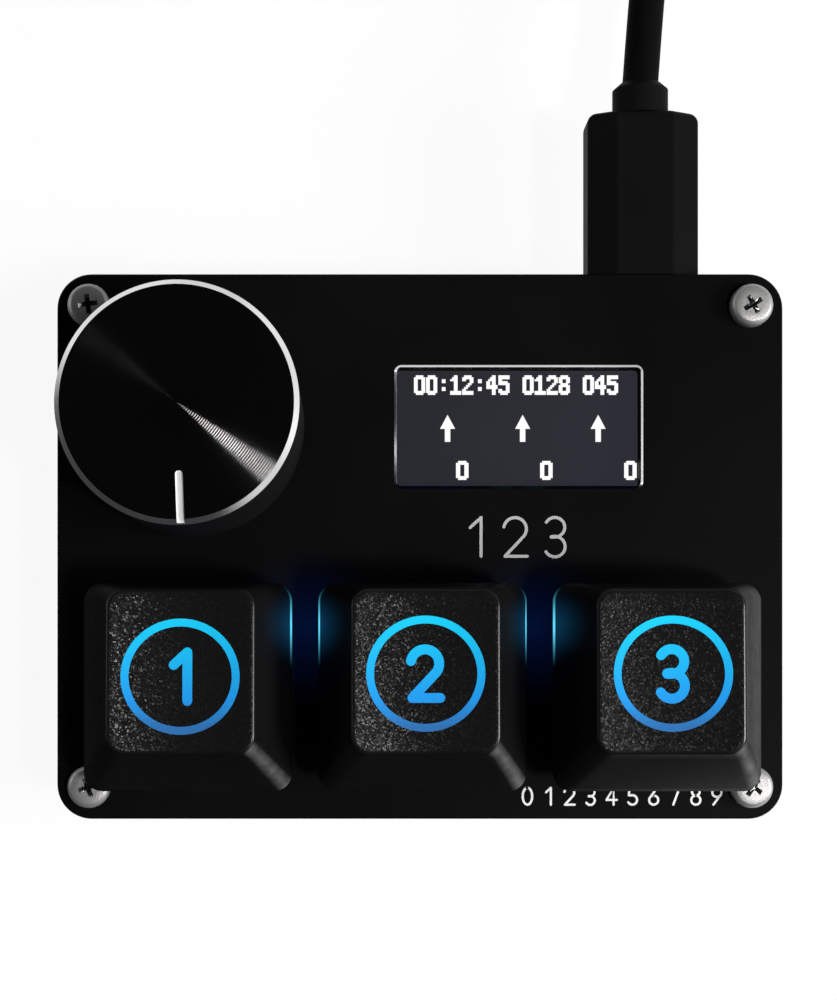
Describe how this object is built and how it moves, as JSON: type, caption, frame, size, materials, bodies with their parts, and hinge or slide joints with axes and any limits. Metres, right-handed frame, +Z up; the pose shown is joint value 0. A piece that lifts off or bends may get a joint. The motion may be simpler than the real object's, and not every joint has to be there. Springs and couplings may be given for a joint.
{
  "type": "macro keypad",
  "caption": "Small desk keypad with spring-return keys, a push-and-turn dial, a window display and a coiled USB lead.",
  "frame": {"origin": "centre of the keypad's footprint on the surface that its feet stand on", "axes": "+X to the right along the row of keys, +Y to the rear where the lead leaves, +Z up"},
  "size_m": [0.0656, 0.1651, 0.0301],
  "materials": {
    "black_anodised": "fine matt black anodised aluminium",
    "case_black": "black moulded shell, fine spark-eroded texture",
    "screw_steel": "bright zinc-plated steel",
    "insert_brass": "knurled brass",
    "foot_rubber": "matt black rubber",
    "board_black": "black solder mask over glass-fibre board",
    "chip_black": "moulded chip package",
    "solder_tin": "tinned terminals",
    "led_lens": "clear lens over a lit blue diode",
    "contact_copper": "phosphor bronze",
    "display_glass": "black display glass, lit",
    "foam_black": "closed-cell foam pad",
    "ribbon_film": "amber flexible film",
    "connector_white": "natural nylon",
    "switch_base_black": "black nylon",
    "switch_cover_clear": "clear polycarbonate, lit blue from below",
    "stem_plastic": "red acetal",
    "spring_steel": "plated spring wire",
    "keycap_black": "black moulded keycap with a fine sandy texture",
    "dial_black": "lathe-turned black anodised aluminium with a bright cut rim",
    "grub_black": "black oxide steel",
    "encoder_plastic": "black phenolic moulding",
    "encoder_zinc": "die-cast zinc",
    "shaft_metal": "turned shaft",
    "port_steel": "drawn stainless shell",
    "cable_black": "soft black jacket",
    "plug_black": "satin black over-moulding",
    "tie_black": "black hook-and-loop strap"
  },
  "bodies": {
    "root": {"bottom_case": "case_black", "top_plate": "black_anodised", "top_plate_screws": "screw_steel", "threaded_inserts": "insert_brass", "rubber_feet": "foot_rubber", "circuit_board": "board_black", "controller_chip": "chip_black", "small_components": "solder_tin", "key_leds": "led_lens", "switch_contacts": "contact_copper", "display_panel": "display_glass", "display_foam": "foam_black", "display_ribbon": "ribbon_film", "ribbon_connector": "connector_white", "encoder_base": "encoder_plastic", "encoder_bushing": "encoder_zinc", "encoder_frame": "port_steel", "encoder_terminals": "solder_tin", "encoder_dome": "spring_steel", "usb_port_shell": "port_steel", "usb_port_tongue": "chip_black", "usb_plug_shell": "port_steel", "usb_plug_body": "plug_black", "strain_relief": "plug_black", "cable_lead": "cable_black", "cable_coil": "cable_black", "cable_tie": "tie_black", "cable_tail": "cable_black", "far_plug_body": "plug_black", "far_plug_shell": "port_steel", "far_plug_insert": "connector_white", "switch_base_1": "switch_base_black", "switch_cover_1": "switch_cover_clear", "return_spring_1": "spring_steel", "switch_base_2": "switch_base_black", "switch_cover_2": "switch_cover_clear", "return_spring_2": "spring_steel", "switch_base_3": "switch_base_black", "switch_cover_3": "switch_cover_clear", "return_spring_3": "spring_steel"},
    "dial_rotor": {"encoder_rotor": "encoder_plastic"},
    "dial_body": {"encoder_shaft": "shaft_metal", "dial": "dial_black", "dial_grub_screw": "grub_black"},
    "key_1": {"switch_stem_1": "stem_plastic", "keycap_1": "keycap_black"},
    "key_2": {"switch_stem_2": "stem_plastic", "keycap_2": "keycap_black"},
    "key_3": {"switch_stem_3": "stem_plastic", "keycap_3": "keycap_black"}
  },
  "joints": [
    {"name": "key_1_press", "type": "slide", "parent": "root", "child": "key_1", "axis": [0, 0, -1], "range_m": [0, 0.004], "stiffness_N_per_m": 75, "springref_m": -0.004, "deforming": ["return_spring_1"]},
    {"name": "key_2_press", "type": "slide", "parent": "root", "child": "key_2", "axis": [0, 0, -1], "range_m": [0, 0.004], "stiffness_N_per_m": 75, "springref_m": -0.004, "deforming": ["return_spring_2"]},
    {"name": "key_3_press", "type": "slide", "parent": "root", "child": "key_3", "axis": [0, 0, -1], "range_m": [0, 0.004], "stiffness_N_per_m": 75, "springref_m": -0.004, "deforming": ["return_spring_3"]},
    {"name": "dial_turn", "type": "hinge", "parent": "root", "child": "dial_rotor", "pos_m": [-0.0204, 0.0108, 0.0115], "axis": [0, 0, 1], "continuous": true},
    {"name": "dial_press", "type": "slide", "parent": "dial_rotor", "child": "dial_body", "axis": [0, 0, -1], "range_m": [0, 0.0005], "stiffness_N_per_m": 4000, "springref_m": -0.0005}
  ]
}
